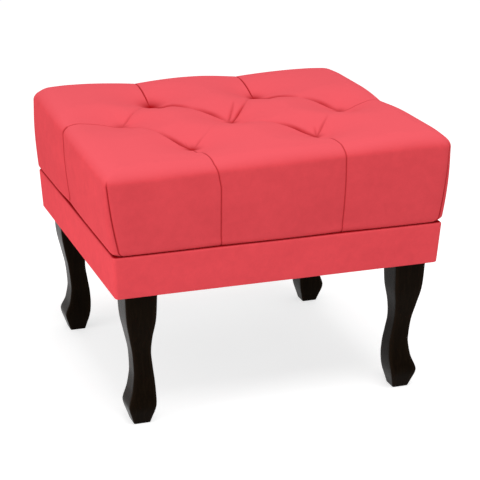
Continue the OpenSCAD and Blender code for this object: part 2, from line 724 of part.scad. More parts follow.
module seat_board() {
    color("wheat") difference() {
        translate([0, 0, board_z]) linear_extrude(board_t) polygon(FOAM_RING);
        for (t = TUFT_PLACES) translate([t[0], t[1], board_z - 1])
            cylinder(h = board_t + 2, d = board_hole_d);
        deck_screw_set(fit_gap);
        cover_staple_set();
    }
}

// Washer under the seat board with a hole for each strand
module tuft_washer(k) {
    color("dimgray") translate([TUFT_PLACES[k][0], TUFT_PLACES[k][1], board_z - washer_t]) difference() {
        cylinder(h = washer_t, d = washer_d);
        for (x = [-strand_gap / 2, strand_gap / 2])
            translate([x, 0, -1]) cylinder(h = washer_t + 2, d = twine_d + 2 * fit_gap);
    }
}

// Twine from the cover's seams down through foam and board, round the washer's web and knotted
module tuft_tie(k) {
    low_z = board_z - washer_t - twine_d / 2;
    bight_z = tuft_z - cover_t - strand_gap / 2 - twine_d / 2;
    color("beige") translate([TUFT_PLACES[k][0], TUFT_PLACES[k][1], 0]) {
        translate([0, 0, bight_z]) rotate([90, 0, 0]) rotate_extrude(angle = 180)
            translate([strand_gap / 2, 0]) circle(d = twine_d);
        for (x = [-strand_gap / 2, strand_gap / 2])
            translate([x, 0, low_z - twine_d / 2]) cylinder(h = bight_z - low_z + twine_d / 2, d = twine_d);
        translate([-strand_gap / 2, 0, low_z]) rotate([0, 90, 0]) cylinder(h = strand_gap, d = twine_d);
        translate([0, 0, low_z - twine_d / 2 - knot_d / 2]) {
            cylinder(h = knot_d / 4, d1 = knot_d / 2, d2 = knot_d);
            translate([0, 0, knot_d / 4]) cylinder(h = knot_d / 2, d = knot_d);
        }
    }
}

long_rail(-1);  // rail_front
long_rail(1);  // rail_back
side_rail(-1);  // rail_left
side_rail(1);  // rail_right
cross_rail(CROSS_X[0]);  // cross_rail_left
cross_rail(CROSS_X[1]);  // cross_rail_right
for (k = [0:3]) {
    corner_block(k);
    leg(k);
    hanger_bolt(k);
    tee_nut(k);
}
seat_board();
seat_foam();
seat_wadding();
for (k = [0:7]) {
    seat_cover(k);
}
for (k = [0:6]) {
    tuft_tie(k);
    tuft_washer(k);
}
band_padding();
band_cover();
dust_cover();
color("silver") frame_screw_set();  // frame_screws
color("silver") block_screw_set();  // block_screws
color("silver") deck_screw_set();  // deck_screws
color("silver") dust_staple_set();  // dust_staples
color("silver") cover_staple_set();  // cover_staples
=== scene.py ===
"""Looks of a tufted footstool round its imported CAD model. All sizes are in metres."""

import math

import bpy
import numpy as np
from mathutils import Matrix


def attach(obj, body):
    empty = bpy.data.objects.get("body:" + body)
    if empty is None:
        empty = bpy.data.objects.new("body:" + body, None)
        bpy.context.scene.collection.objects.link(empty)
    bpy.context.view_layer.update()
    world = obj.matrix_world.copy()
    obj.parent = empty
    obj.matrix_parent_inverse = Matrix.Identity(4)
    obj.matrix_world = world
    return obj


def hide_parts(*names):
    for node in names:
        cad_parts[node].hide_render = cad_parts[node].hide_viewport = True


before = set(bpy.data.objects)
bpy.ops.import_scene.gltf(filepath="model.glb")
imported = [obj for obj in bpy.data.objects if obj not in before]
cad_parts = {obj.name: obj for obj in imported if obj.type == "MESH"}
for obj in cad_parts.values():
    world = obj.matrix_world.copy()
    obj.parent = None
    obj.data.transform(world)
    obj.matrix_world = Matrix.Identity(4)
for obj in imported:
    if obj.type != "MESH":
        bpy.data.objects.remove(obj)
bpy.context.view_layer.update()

# Sizes of the solids, as the CAD source has them
BODY_W, BODY_D = 0.500, 0.450
LEG_H, BAND_H, BAND_R, FLARE = 0.206, 0.065, 0.006, 0.004
LEG_TOP_W, LEG_IN_X, LEG_IN_Y, SOLE_W, SOLE_IN = 0.048, 0.016, 0.007, 0.025, 0.003
TOE_H, TOE_OUT, HEEL_H, HEEL_IN = 0.030, 0.0186, 0.050, 0.024
ANKLE_H, ANKLE_OUT, CALF_IN = 0.080, 0.0082, 0.0177
CUSHION_H, CUSHION_OVER, CREASE_OVER, TUCK_IN, WIDEST_H = 0.141, 0.011, 0.004, 0.005, 0.099
EDGE_R, CORNER_R = 0.022, 0.014
CORNER_FALL, CORNER_SPREAD = 0.004, 0.050
TUFT_SIDE, TUFT_FRONT, TUFT_PITCH, TUFT_DEPTH = 0.070, 0.105, 0.190, 0.027
SEAM_DEPTH, SLIT_DEPTH = 0.006, 0.003
# How far a tuft, a pleat, a seam and a slit spread, and the power by which each deepens
# towards its middle
TUFT_W, PLEAT_W, SEAM_W, SLIT_W, SWELL = 0.100, 0.070, 0.090, 0.015, 1.7
SEAM_RUN, TUCK_H, CREASE_HOLD, RISE = 0.070, 0.009, 0.3, 2.2
COVER_T, PAD_T, DUST_T, DUST_IN, HEM_W = 0.0012, 0.003, 0.0008, 0.005, 0.014
BOARD_T, FOAM_R, BOLT_D, BOLT_IN_LEG = 0.012, 0.020, 0.008, 0.030

# The cushion's finer shape, measured on the photograph and a few millimetres off the CAD's.
# How much lower the crown sits at its corners: front left, front right, back left, back right
SETTLE = (0.0150, 0.0010, 0.0, 0.0045)
# Fall of the front left corner's crest, and its radius at the top
LEFT_FALL, TIGHT_R = 0.0, 0.006
# How far the front's slits and seams lean inwards down to the crease, and how far that spreads
SLIT_LEAN, SEAM_LEAN, LEAN_SPREAD = 0.010, 0.0023, 0.050
# How far out the right side stands, how far the left one leans in at the back from how far out,
# how far out it leans at the front, and the share of the height over which all this begins
RIGHT_OUT, BACK_IN, BACK_OUT, FRONT_OUT, LEAN_FROM = 0.0026, 0.0035, 0.0018, 0.0060, 0.06

HEM_Z = LEG_H + DUST_T
RAIL_Z = HEM_Z + COVER_T
CREASE_Z = LEG_H + BAND_H
BOARD_Z = CREASE_Z + COVER_T
FOAM_Z = BOARD_Z + BOARD_T
HALF = np.array([BODY_W / 2, BODY_D / 2])
FRAME_HALF = HALF - COVER_T - PAD_T
LEG_X = HALF[0] - LEG_IN_X - LEG_TOP_W / 2
LEG_Y = HALF[1] - LEG_IN_Y - LEG_TOP_W / 2

TUFT_X1, TUFT_X2, TUFT_Y1 = TUFT_PITCH / 2, HALF[0] - TUFT_SIDE, HALF[1] - TUFT_FRONT
TUFTS = np.array([
    [-TUFT_X1, TUFT_Y1], [TUFT_X1, TUFT_Y1], [-TUFT_X2, 0], [0, 0],
    [TUFT_X2, 0], [-TUFT_X1, -TUFT_Y1], [TUFT_X1, -TUFT_Y1],
])
TUFT_DRIFT = np.array([
    [2, 3], [-14, 2], [13, 24], [-1, -4], [3, 7], [-8, -4], [-1, 3]
]) / 1000
# Two tufts, depth of the pleat between them at its middle (one depth for all in the CAD), how
# far the painted shade of its fold laps over to the back, and how crisp it is at even steps from
# the first tuft
PLEATS = [
    (0, 3, 0.012, 0.0060, (1.0, 0.9, 0.2, 0.7, 0.1)),
    (1, 3, 0.010, 0.0022, (0.4, 0.1, 0.2, 0.7, 0.9)),
    (5, 3, 0.006, 0.0020, (0.6, 0.1, 0.0, 0.0, 0.2)),
    (6, 3, 0.011, 0.0055, (0.8, 0.8, 0.1, 0.0, 0.1)),
    (0, 2, 0.011, 0.0022, (0.2, 0.1, 0.1, 0.3, 0.5)),
    (5, 2, 0.009, 0.0055, (0.9, 0.7, 0.1, 0.1, 0.3)),
    (1, 4, 0.010, 0.0060, (1.0, 1.0, 0.0, 0.7, 0.5)),
    (6, 4, 0.006, 0.0022, (0.6, 0.4, 0.0, 0.0, 0.2)),
]
# Depth of the folds tucked into the pleats, their reach behind and in front of the pleat,
# and the half width of their painted shade line in front
FOLD_DEPTH, FOLD_BACK, FOLD_FRONT, LAP_FRONT = 0.0035, 0.006, 0.010, 0.0013
# How dark the painted shade lies in each tuft, how wide it spreads, and how far the pillow in front
# of it is pinched down
TUFT_DARK = (1.0, 0.95, 0.45, 0.60, 0.60, 0.90, 0.60)
TUFT_WIDE = (1.5, 1.1, 1.0, 0.9, 0.9, 1.0, 0.9)
PINCH = (0.0065, 0.0050, 0.0010, 0.0040, 0.0055, 0.0030, 0.0030)
# How far in front of its tuft that pinch lies, and its half widths
PINCH_AT, PINCH_R = 0.022, (0.015, 0.026)
# Half width of a tuft's painted shade across, to the back and to the front
DARK_ACROSS, DARK_BACK, DARK_FRONT = 0.010, 0.012, 0.005
DIMPLE_DEPTH, DIMPLE_R = 0.0035, 0.012
# Depth from which the relief eases off, and the depth it never passes, short of the ties' knots
EASE_FROM, DEEPEST = 0.020, 0.0265
# Tucks beside the tufts: the tuft, way they run in degrees, reach and sideways offset
TUCKS = [(3, 62, 0.070, 0.006), (0, 158, 0.022, 0.0), (6, 75, 0.030, 0.0), (5, 100, 0.026, 0.0)]
# Depth, half width, darkness of the painted shade, half width of that painted shade line, and soft
# start of a tuck
TUCK_DEPTH, TUCK_W, TUCK_DARK, TUCK_LINE, TUCK_START = 0.0030, 0.0022, 0.6, 0.0015, 0.004
# A tuft, the way its seam runs to the edge, and the half width down the side and darkness
# of the painted shade along the seam's line
SEAMS = [
    (0, (0, 1), 0.0008, 1.00), (1, (0, 1), 0.0008, 1.00), (5, (0, -1), 0.0008, 0.75),
    (6, (0, -1), 0.0008, 0.70), (2, (-1, 0), 0.0026, 0.90), (4, (1, 0), 0.0012, 0.50),
]
# Half width of a seam's painted shade line on the top, darkness and half width of a slit's painted
# shade line, where that line starts under the crest and over what length, and how deep a full line
# is pressed in
TOP_LINE, SLIT_DARK, SLIT_LINE, SLIT_FROM, SLIT_FADE = 0.0011, 0.85, 0.0016, 0.010, 0.012
LINE_DEPTH = 0.0012


# Meshes
def add_mesh(name, points, faces, smooth=True):
    mesh = bpy.data.meshes.new(name)
    mesh.from_pydata([tuple(p) for p in points], [], faces)
    mesh.validate()
    mesh.update()
    mesh.polygons.foreach_set("use_smooth", [smooth] * len(mesh.polygons))
    piece = bpy.data.objects.new(name, mesh)
    bpy.context.scene.collection.objects.link(piece)
    return piece


def point_attribute(piece, name, values):
    attribute = piece.data.attributes.new(name, "FLOAT", "POINT")
    attribute.data.foreach_set("value", np.asarray(values, np.float32))


def sharpen(piece, degrees):
    piece.data.set_sharp_from_angle(angle=math.radians(degrees))


# Cushion
def swelling(distance, depth, width):
    """Depth that falls off with the distance, like stuffing round a tie."""
    return depth * np.clip(1 - distance / width, 0, 1) ** SWELL


def groove(distance, width):
    """Share of a narrow groove or line, one in its middle."""
    return np.exp(-(distance / width) ** 2)


def eased(share):
    return share * share * (3 - 2 * share)


def pull(v, at, inward, outward):
    """Share of a tuft's drift that a grid line at v takes part in."""
    past = np.sign(at) * v - abs(at) if at else -np.abs(v)
    outer = np.maximum(0, 1 - past / outward) if outward > 0 else np.ones_like(v)
    weight = np.where(past < 0, np.maximum(0, 1 + past / inward), outer)
    return eased(weight)


def pull_x(x, at):
    if abs(at) == TUFT_X1:
        return pull(x, at, TUFT_X1, TUFT_X2 - TUFT_X1)
    return pull(x, at, TUFT_X1 if at == 0 else TUFT_X2 - TUFT_X1, 0)


def drifted(n, u, down):
    """Even places moved along with the tufts, which sit a little off their even grid."""
    total = np.zeros_like(n)
    for tuft, move in zip(TUFTS, TUFT_DRIFT):
        weight = pull_x(u[:, 0], tuft[0]) * pull(u[:, 1], tuft[1], TUFT_Y1, 0)
        total += weight[:, None] * move
    held = 1 - np.minimum(1, np.abs(n) / (HALF - EDGE_R)) ** 12
    total *= held
    total[:, 0] *= np.maximum(0, 1 - down / (2 * EDGE_R))
    return n + total


def overhang(down):
    """How far the cushion's side stands out over the body, at a depth under its top edge."""
    up = CUSHION_H - down
    bulge = np.sin(math.pi / 2 * np.minimum(1, up / WIDEST_H))
    tuck = TUCK_IN * np.maximum(0, 1 - up / TUCK_H) ** 2
    return CREASE_OVER + (CUSHION_OVER - CREASE_OVER) * bulge - tuck


def lean(n, down):
    """Shift of the stuffed sides along x."""
    up = np.clip((CUSHION_H - down) / CUSHION_H, 0, 1)
    share = np.clip(np.abs(n[:, 0]) / HALF[0], 0, 1) ** 6
    front = np.clip((1 - n[:, 1] / HALF[1]) / 2, 0, 1)
    # The front's lean reaches well past the middle
    front = np.minimum(1, 1.7 * front ** 1.2)
    left = (BACK_IN * up - BACK_OUT) * (1 - front) - FRONT_OUT * up * front
    return share * np.where(n[:, 0] > 0, RIGHT_OUT, left) * np.clip(up / LEAN_FROM, 0, 1)


def settle(n):
    """How much lower the crown sits towards each corner."""
    across, along = (n[:, 0] / HALF[0] + 1) / 2, (n[:, 1] / HALF[1] + 1) / 2
    front = SETTLE[0] * (1 - across) + SETTLE[1] * across
    fall = np.where((n[:, 0] < 0) & (n[:, 1] < 0), LEFT_FALL, CORNER_FALL)
    corner = swelling(np.linalg.norm(HALF - np.abs(n), axis=1), fall, CORNER_SPREAD)
    return front * (1 - along) + (SETTLE[2] * (1 - across) + SETTLE[3] * across) * along + corner


def deeper(first, second):
    """The greater of two depths, eased where they cross."""
    blend = np.clip(np.minimum(first, second), 1e-9, 0.005)
    near = np.maximum(0, blend - np.abs(first - second))
    return np.maximum(first, second) + near * near / (4 * blend)


def cover_drop(u):
    """Depth under the plain crown at unfolded place u, and the painted shade of seams, folds, tufts
    and tucks.
    """
    drop = np.zeros(len(u))
    relief = np.zeros(len(u))
    line = np.zeros(len(u))
    for a, b, middle, lap, crisp in PLEATS:
        start, run = TUFTS[a], TUFTS[b] - TUFTS[a]
        t = np.clip((u - start) @ run / (run @ run), 0, 1)
        near = np.abs(2 * t - 1) ** RISE
        offset = u - start - t[:, None] * run
        distance = np.linalg.norm(offset, axis=1)
        drop = deeper(drop, swelling(distance, middle + (TUFT_DEPTH - middle) * near, PLEAT_W))
        crisp = np.interp(t, np.linspace(0, 1, 5), crisp)
        # The pillow in front stands steeper over its pleat than the one behind
        behind = offset[:, 1] > 0
        fold = np.clip(1 - distance / np.where(behind, FOLD_BACK, FOLD_FRONT), 0, 1) ** 1.2
        relief = np.maximum(relief, FOLD_DEPTH * fold * crisp * np.clip(1.4 - near, 0, 1))
        # Painted shade along the pleat, wider behind where the pillow in front hides the fold
        line = np.maximum(line, groove(distance, np.where(behind, lap, LAP_FRONT)) * crisp)
    for a, way, width, dark in SEAMS:
        way = np.array(way)
        along = np.maximum(0, (u - TUFTS[a]) @ way)
        across = np.linalg.norm(u - TUFTS[a] - along[:, None] * way, axis=1)
        near = np.maximum(0, 1 - along / SEAM_RUN) ** RISE
        depth = SEAM_DEPTH + (TUFT_DEPTH - SEAM_DEPTH) * near
        drop = deeper(drop, swelling(across, depth, SEAM_W))
        # Painted shade along the seam
        line = np.maximum(line, dark * groove(across, np.where(along > TUFT_SIDE, width, TOP_LINE)))
    for tuft in TUFTS:
        distance = np.linalg.norm(u - tuft, axis=1)
        drop = deeper(drop, swelling(distance, TUFT_DEPTH, TUFT_W))
        dimple = DIMPLE_DEPTH * np.clip(1 - distance / DIMPLE_R, 0, 1) ** 1.3
        relief = np.maximum(relief, dimple)
    for tuft, dark, wide, pinch in zip(TUFTS, TUFT_DARK, TUFT_WIDE, PINCH):
        v = (u - tuft + [0, PINCH_AT]) / PINCH_R
        drop = drop + pinch * groove(np.linalg.norm(v, axis=1), 1)
        # Painted shade round the tuft, reaching further to the back
        back_or_front = np.where(u[:, 1] > tuft[1], DARK_BACK, DARK_FRONT)
        v = (u - tuft) / np.column_stack([np.full(len(u), DARK_ACROSS), back_or_front])
        line = np.maximum(line, dark * groove(np.linalg.norm(v, axis=1), wide))
    for tuft, degrees, reach, aside in TUCKS:
        way = np.array([math.cos(math.radians(degrees)), math.sin(math.radians(degrees))])
        v = u - TUFTS[tuft]
        along = v @ way
        across = v @ np.array([-way[1], way[0]]) - aside
        fade = np.clip(along / TUCK_START, 0, 1) * np.clip(1 - along / reach, 0, 1) ** 0.5
        relief = np.maximum(relief, TUCK_DEPTH * groove(across, TUCK_W) * fade)
        # Painted shade along the tuck
        line = np.maximum(line, TUCK_DARK * groove(across, TUCK_LINE) * fade)
    total = drop + relief + gathers(u)
    excess = np.maximum(0, total - EASE_FROM)
    return total - excess + excess / (1 + excess / (DEEPEST - EASE_FROM)), line


def gathers(u):
    """Small folds that run out from each tuft."""
    rng = np.random.default_rng(3)
    ripple = np.zeros(len(u))
    folds, half_w, widening = 9, 0.0022, 0.06
    for tuft in TUFTS:
        v = u - tuft
        r = np.linalg.norm(v, axis=1)
        angle = np.arctan2(v[:, 1], v[:, 0])
        for _ in range(folds):
            way = rng.uniform(-math.pi, math.pi)
            reach = rng.uniform(0.014, 0.030)
            depth = rng.uniform(0.0006, 0.0018)
            off = np.abs((angle - way + math.pi) % (2 * math.pi) - math.pi) * r
            fold = groove(off, half_w + widening * r) * np.clip(r / TUCK_START, 0, 1)
            ripple += depth * (fold * np.clip(1 - r / reach, 0, 1) ** 1.2)
    return ripple


def border_share(n):
    """How far a place lies out over the rounded border, from 0 to 1."""
    return np.maximum(0, (1 - (HALF - np.abs(n)) / EDGE_R).max(1))


def cover_points(n, u, down):
    """Places of the cover's outer face, and the painted shade on each in seams, folds, tufts and
    slits.
    """
    side = down > 0
    share = np.where(side, 1, border_share(n))
    over_edge = math.pi / 2 - np.arctan(np.maximum(0, EDGE_R - down) / EDGE_R)
    tilt = np.where(side, over_edge, np.arctan(share))
    sin, cos = np.sin(tilt), np.cos(tilt)
    ring = HALF - EDGE_R * (1 - share)[:, None]
    goal = HALF + (overhang(down) * sin - EDGE_R * (1 - sin))[:, None]
    q = drifted(n, u, down)
    q = q + np.sign(q) * (goal - ring) * (np.abs(q) / ring) ** 4
    # The front's corner slits and seams lean towards the middle as they go down
    fall = down / CUSHION_H
    moved = SLIT_LEAN * fall * groove(HALF[0] - np.abs(n[:, 0]), LEAN_SPREAD)
    moved += SEAM_LEAN * fall ** 3 * groove(np.abs(n[:, 0]) - TUFT_X1, LEAN_SPREAD)
    q[:, 0] -= np.sign(n[:, 0]) * moved * groove(HALF[1] + n[:, 1], LEAN_SPREAD)
    tight = TIGHT_R + (CORNER_R - TIGHT_R) * fall
    bend = np.where((n[:, 0] < 0) & (n[:, 1] < 0), tight, CORNER_R)
    r = np.maximum(0.001, bend * sin)[:, None]
    core = np.clip(q, r - goal, goal - r)
    reach = np.linalg.norm(q - core, axis=1)[:, None]
    out = np.where((share > 0)[:, None] & (reach > 0), (q - core) / np.maximum(reach, 1e-9), 0)
    plan = np.where((share > 0)[:, None], core + r * out, q)
    low = settle(n)
    z = CREASE_Z + (CUSHION_H - np.maximum(down, EDGE_R * (1 - cos))) * (1 - low / CUSHION_H)
    drop, line = cover_drop(u)
    corner = (HALF - np.abs(n)).sum(1)
    slit_start = np.clip((down - SLIT_FROM) / SLIT_FADE, 0, 1)
    # Painted shade down the corner's slit
    line = np.maximum(line, SLIT_DARK * groove(corner, SLIT_LINE) * slit_start)
    slit = swelling(corner, SLIT_DEPTH * np.sin(math.pi * down / CUSHION_H), SLIT_W)
    slit = np.where(side, slit, 0)
    hold = np.minimum(1, CREASE_HOLD + (CUSHION_H - down) / EDGE_R)
    draw = drop * (1 - low / TUFT_DEPTH) * hold + slit + LINE_DEPTH * line
    flat = draw * sin
    plan = plan - flat[:, None] * out
    return np.column_stack([plan[:, 0] + lean(n, down), plan[:, 1], z - draw * cos]), line


def half_lines(ends, border):
    """Grid lines from the middle outwards: parts cut at given shares, then the rounded border."""
    lines = []
    for a, b, shares in ends:
        lines += [a + (b - a) * t for t in shares[:-1]]
    return np.array(lines + list(border))


def mirrored(half):
    return np.concatenate([-half[:0:-1], half])


# Shares of a pleat's run, closer together at the seams that cross its ends
RUN = np.concatenate([[0, 0.008, 0.020], np.linspace(0.040, 0.960, 39), [0.980, 0.992, 1]])
BORDER_STEPS = 9
# Distances of the closer lines from the corner
SLIT_LINES = np.array([0.001, 0.0022])
TILTS = np.tan(np.linspace(0, math.pi / 4, BORDER_STEPS + 1))


def border_lines(half):
    """Lines over the rounded border, with closer ones for the corner's slit."""
    plain = half - EDGE_R * (1 - TILTS)
    return np.sort(np.concatenate([plain, half - SLIT_LINES]))


X_HALF = half_lines([(0, TUFT_X1, RUN), (TUFT_X1, TUFT_X2, 1 - RUN[::-1]),
                     (TUFT_X2, HALF[0] - EDGE_R, np.linspace(0, 1, 12))], border_lines(HALF[0]))
Y_HALF = half_lines([(0, TUFT_Y1, RUN), (TUFT_Y1, HALF[1] - EDGE_R, np.linspace(0, 1, 21))],
                    border_lines(HALF[1]))
X_LINES, Y_LINES = mirrored(X_HALF), mirrored(Y_HALF)
NX, NY = len(X_LINES) - 1, len(Y_LINES) - 1
AROUND = 2 * (NX + NY)
LEVELS = np.concatenate([
    EDGE_R * (1 - TILTS[::-1][1:]),
    np.linspace(EDGE_R, CUSHION_H - TUCK_H, 27)[1:],
    CUSHION_H - TUCK_H * (1 - np.linspace(0, 1, 8)[1:]) ** 1.4,
])


def ring_place(p):
    """Column and row of the grid's border point p, anticlockwise from the front left corner."""
    p %= AROUND
    if p < NX:
        return p, 0
    if p < NX + NY:
        return NX, p - NX
    if p < 2 * NX + NY:
        return 2 * NX + NY - p, NY
    return 0, AROUND - p


def top_index(i, j):
    return j * (NX + 1) + i


def rounded_ring(half, radius):
    """Plan points on a smaller rounded rectangle, one for each point of the cushion's ring."""
    ring = np.array([[X_LINES[i], Y_LINES[j]] for i, j in map(ring_place, range(AROUND))])
    s = ring * half / HALF
    core = np.clip(s, radius - half, half - radius)
    v = s - core
    return core + radius * v / np.linalg.norm(v, axis=1)[:, None]


def cushion():
    grid = np.array([[x, y] for y in Y_LINES for x in X_LINES])
    points, line = cover_points(grid, grid, np.zeros(len(grid)))
    ring_n = np.array([[X_LINES[i], Y_LINES[j]] for i, j in map(ring_place, range(AROUND))])
    ways = np.array([[0, -1]] * NX + [[1, 0]] * NY + [[0, 1]] * NX + [[-1, 0]] * NY)
    rings, lines = [points], [line]
    for down in LEVELS:
        at = np.full(AROUND, down)
        p, shade = cover_points(ring_n, ring_n + down * ways, at)
        rings.append(p)
        lines.append(shade)
    # Under the crease: the hem turned under the board, then round the board's edge to its top
    for inset, z in [(HEM_W, CREASE_Z), (HEM_W, BOARD_Z), (0, BOARD_Z), (0, FOAM_Z)]:
        plan = rounded_ring(FRAME_HALF - inset, FOAM_R - inset)
        rings.append(np.column_stack([plan, np.full(AROUND, z)]))
        lines.append(np.zeros(AROUND))
    rings.append(np.array([[0, 0, FOAM_Z]]))
    lines.append(np.zeros(1))
    points = np.concatenate(rings)
    line = np.concatenate(lines)
    faces = []
    for j in range(NY):
        for i in range(NX):
            x, y = X_LINES[i] + X_LINES[i + 1], Y_LINES[j] + Y_LINES[j + 1]
            # Each cell is split along the pleat that runs through it
            rises = (x < -2 * TUFT_X1 or 0 < x < 2 * TUFT_X1) == (y > 0)
            a, b = top_index(i, j), top_index(i + 1, j)
            c, d = top_index(i + 1, j + 1), top_index(i, j + 1)
            inside = abs(x) < 2 * TUFT_X2 and abs(y) < 2 * TUFT_Y1
            if not inside:
                faces.append((a, b, c, d))
            elif rises:
                faces += [(a, b, c), (a, c, d)]
            else:
                faces += [(a, b, d), (b, c, d)]
    base = (NX + 1) * (NY + 1)

    def at(m, p):
        if m == 0:
            return top_index(*ring_place(p))
        return base + (m - 1) * AROUND + p % AROUND

    last = len(LEVELS) + 4
    for m in range(last):
        for p in range(AROUND):
            faces.append((at(m + 1, p), at(m + 1, p + 1), at(m, p + 1), at(m, p)))
    middle = len(points) - 1
    for p in range(AROUND):
        faces.append((at(last, p + 1), at(last, p), middle))
    piece = add_mesh("cushion", points, faces)
    # Painted shade of seams, folds, tufts and slits, which darkens the suede's colour
    point_attribute(piece, "seam", line)
    sharpen(piece, 55)
    return piece


# Band
def rounded_path(half_x, half_y, radius, per_side, per_corner):
    """Points round a rounded rectangle, anticlockwise from the front left corner."""
    inner = np.array([half_x - radius, half_y - radius])
    corners = [(-1, -1), (1, -1), (1, 1), (-1, 1)]
    path = []
    for k, corner in enumerate(corners):
        centre, after = inner * corner, inner * corners[(k + 1) % 4]
        start = math.pi + k * math.pi / 2
        end = start + math.pi / 2
        arc = [centre + radius * np.array([math.cos(a), math.sin(a)])
               for a in np.linspace(start, end, per_corner)]
        path += arc
        target = after + radius * np.array([math.cos(end), math.sin(end)])
        path += [arc[-1] + (target - arc[-1]) * t for t in np.linspace(0, 1, per_side + 1)[1:-1]]
    return np.array(path)


def wander(points, size, seed):
    """Smooth small unevenness of hand-laid fabric, a sum of slow waves."""
    rng = np.random.default_rng(seed)
    total = np.zeros(len(points))
    waves, slowest, fastest = 14, 25, 110
    for _ in range(waves):
        way = rng.normal(size=3)
        way *= rng.uniform(slowest, fastest) / np.linalg.norm(way)
        total += np.sin(points @ way + rng.uniform(0, 2 * math.pi))
    return size * total / 4


# Rounding of the band's lower and upper edge, and the plan radius of its hems and inner turns
LOW_EDGE, TOP_EDGE, HEM_R, TURN_R = 0.0022, 0.0035, 0.004, 0.0004
# Points along a side and round a corner, fullness of the padded wall and its unevenness,
# and the height over which painted shade darkens it under the crease
BAND_ALONG, BAND_ROUND, FULLNESS, UNEVEN, CREASE_DARK_H = 110, 9, 0.0008, 0.0003, 0.0012


def band():
    hem_end = HEM_W - 0.002
    frame_in = HALF[0] - FRAME_HALF[0]
    # Inset from the plain side at that height, height, corner radius
    profile = [(HEM_W, HEM_Z, TURN_R)]
    for inset in np.linspace(hem_end, LOW_EDGE, 5):
        profile.append((inset, HEM_Z, HEM_R))
    for a in np.linspace(0, math.pi / 2, 6)[1:]:
        inset, rise = LOW_EDGE * (1 - math.sin(a)), LOW_EDGE * (1 - math.cos(a))
        profile.append((inset, HEM_Z + rise, BAND_R))
    for z in np.linspace(HEM_Z + LOW_EDGE, CREASE_Z - TOP_EDGE, 17)[1:-1]:
        profile.append((0, z, BAND_R))
    for a in np.linspace(0, math.pi / 2, 8):
        inset, sink = TOP_EDGE * (1 - math.cos(a)), TOP_EDGE * (1 - math.sin(a))
        profile.append((inset, CREASE_Z - sink, BAND_R))
    for inset in np.linspace(TOP_EDGE, hem_end, 5)[1:]:
        profile.append((inset, CREASE_Z, HEM_R))
    inner_z = CREASE_Z - COVER_T
    for inset, z in [(HEM_W, CREASE_Z), (HEM_W, inner_z), (frame_in, inner_z),
                     (frame_in, RAIL_Z), (HEM_W, RAIL_Z)]:
        profile.append((inset, z, TURN_R))
    rings = []
    for inset, z, radius in profile:
        share = (z - HEM_Z) / (CREASE_Z - HEM_Z)
        flare = FLARE * share if inset < HEM_W - 0.003 and inset != frame_in else 0
        if inset < BAND_R - 0.0015:
            radius = min(radius, BAND_R - inset)
        half_x, half_y = HALF + flare - inset
        path = rounded_path(half_x, half_y, radius, BAND_ALONG, BAND_ROUND)
        rings.append(np.column_stack([path, np.full(len(path), z)]))
    count, n_rings = len(rings[0]), len(rings)
    points = np.concatenate(rings)
    # Slight fullness of the padded wall, and hand-laid unevenness
    x, y, z = points.T
    wall = np.clip(np.sin(math.pi * np.clip((z - HEM_Z) / (CREASE_Z - HEM_Z), 0, 1)), 0, 1)
    outer = (np.abs(x) > HALF[0] - TOP_EDGE) | (np.abs(y) > HALF[1] - TOP_EDGE)
    side_x = np.abs(x) - HALF[0] > np.abs(y) - HALF[1]
    run = np.where(side_x, 1 - (y / HALF[1]) ** 8, 1 - (x / HALF[0]) ** 8)
    fullness = FULLNESS + wander(points, UNEVEN, 5)
    push = np.where(outer, wall * np.clip(run, 0, 1) * fullness, 0)
    out = np.column_stack([np.where(side_x, np.sign(x), 0), np.where(side_x, 0, np.sign(y))])
    points[:, :2] += out * push[:, None]
    faces = []
    for m in range(n_rings):
        for p in range(count):
            q = (p + 1) % count
            a, b = m * count, ((m + 1) % n_rings) * count
            faces.append((a + p, a + q, b + q, b + p))
    piece = add_mesh("band", points, faces)
    # Painted shade at the top of the band, under the cushion's crease
    crease = np.clip((z - (CREASE_Z - CREASE_DARK_H)) / CREASE_DARK_H, 0, 1)
    point_attribute(piece, "seam", crease)
    sharpen(piece, 50)
    return piece


# Legs
# Outlines of a leg's outer and inner faces: height, distance from the leg's upright axis
HALF_TOP = LEG_TOP_W / 2
OUTER_FACE = [
    (0, SOLE_W / 2 - SOLE_IN), (TOE_H - 0.017, TOE_OUT - 0.0046),
    (TOE_H - 0.007, TOE_OUT - 0.0012), (TOE_H, TOE_OUT),
    (TOE_H + 0.006, TOE_OUT - 0.0012), (TOE_H + 0.014, TOE_OUT - 0.0043),
    (TOE_H + 0.022, TOE_OUT - 0.007), (ANKLE_H - 0.010, ANKLE_OUT + 0.0005),
    (ANKLE_H, ANKLE_OUT), (LEG_H - 0.095, HALF_TOP - 0.0132),
    (LEG_H - 0.070, HALF_TOP - 0.0082), (LEG_H - 0.040, HALF_TOP - 0.0024), (LEG_H, HALF_TOP),
]
INNER_FACE = [
    (0, SOLE_W / 2 + SOLE_IN), (HEEL_H - 0.038, HEEL_IN - 0.0054),
    (HEEL_H - 0.028, HEEL_IN - 0.0027), (HEEL_H - 0.016, HEEL_IN - 0.0007),
    (HEEL_H, HEEL_IN), (HEEL_H + 0.012, HEEL_IN - 0.0005),
    (HEEL_H + 0.022, HEEL_IN - 0.0013), (HEEL_H + 0.040, HEEL_IN - 0.0037),
    (LEG_H - 0.094, CALF_IN), (LEG_H - 0.070, CALF_IN + 0.0008),
    (LEG_H - 0.040, HALF_TOP - 0.0014), (LEG_H, HALF_TOP),
]
# Rounding of a leg's edges and of its sole, half width of the rubbed edge, and clearance
# round the bolt
LEG_EASE, SOLE_EASE, RUBBED, BORE_CLEAR = 0.0022, 0.0008, 0.0030, 0.0001
LEG_ALONG, LEG_ROUND, LEG_LEVELS = 7, 6, 88


